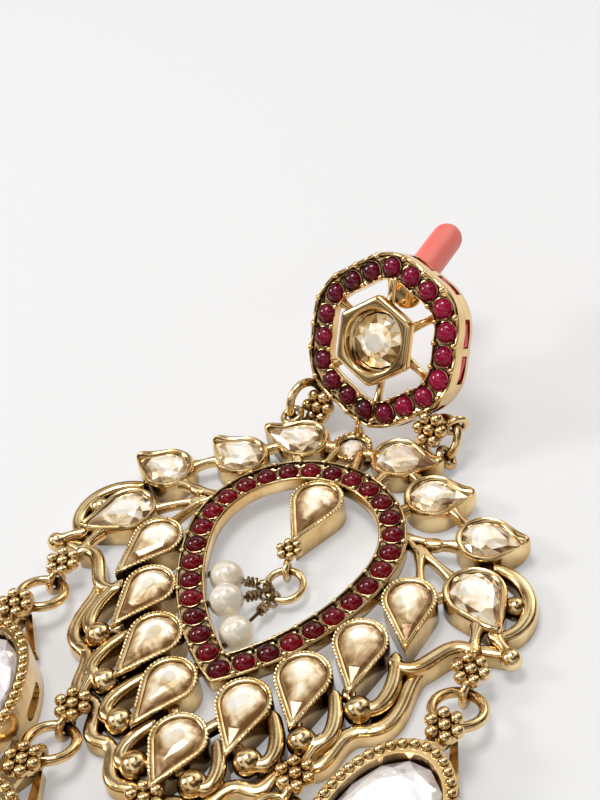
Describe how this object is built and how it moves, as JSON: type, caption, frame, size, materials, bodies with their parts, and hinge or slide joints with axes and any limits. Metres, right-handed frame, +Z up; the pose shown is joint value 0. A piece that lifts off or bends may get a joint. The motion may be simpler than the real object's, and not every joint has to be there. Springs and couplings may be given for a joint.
{
  "type": "chandbali earring",
  "caption": "Crescent drop earring with a hexagonal stone-set stud, an open ring of red cabochons in a garland of crystal petals, and oval crystal drops on links.",
  "frame": {"origin": "centre of the bounding box, on the surface that the earring lies on", "axes": "+Z up from the surface, out of the face; +Y along the earring from the drops to the stud; +X across it"},
  "size_m": [0.0478, 0.094, 0.0168],
  "materials": {
    "antique_gold": "satin antique gold plate",
    "ruby": "polished red glass",
    "red_stone": "polished red glass",
    "crystal": "foil-backed cut glass",
    "champagne_crystal": "foil-backed champagne cut glass",
    "pearl": "pearl lustre",
    "wire": "twisted antique wire",
    "steel": "plain",
    "silicone": "soft coral silicone"
  },
  "bodies": {
    "root": {"stud_frame": "antique_gold", "stud_stone": "champagne_crystal", "stud_rubies": "ruby", "stud_baguettes": "red_stone", "stud_post": "steel", "post_sleeve": "silicone", "stud_link_right": "antique_gold", "stud_link_left": "antique_gold", "body_frame": "antique_gold", "ring_rubies": "ruby", "petal_stone_1": "crystal", "petal_stone_2": "crystal", "petal_stone_3": "crystal", "petal_stone_4": "crystal", "petal_stone_5": "crystal", "petal_stone_6": "crystal", "petal_stone_7": "crystal", "petal_stone_8": "crystal", "petal_stone_9": "crystal", "leaf_stone_1": "crystal", "leaf_stone_2": "crystal", "leaf_stone_3": "crystal", "leaf_stone_4": "crystal", "leaf_stone_5": "crystal", "leaf_stone_6": "crystal", "leaf_stone_7": "crystal", "leaf_stone_8": "crystal", "apex_stone": "crystal", "pendant_stone": "crystal", "pendant_link": "antique_gold", "pearl_1": "pearl", "pearl_2": "pearl", "pearl_3": "pearl", "pearl_wire_1": "wire", "pearl_wire_2": "wire", "pearl_wire_3": "wire", "drop_frame_1": "antique_gold", "drop_frame_2": "antique_gold", "drop_frame_3": "antique_gold", "drop_frame_4": "antique_gold", "drop_frame_5": "antique_gold", "drop_stone_1": "crystal", "drop_stone_2": "crystal", "drop_stone_3": "crystal", "drop_stone_4": "crystal", "drop_stone_5": "crystal", "drop_link_1": "antique_gold", "drop_link_2": "antique_gold", "drop_link_3": "antique_gold", "drop_link_4": "antique_gold", "drop_link_5": "antique_gold"}
  },
  "joints": []
}
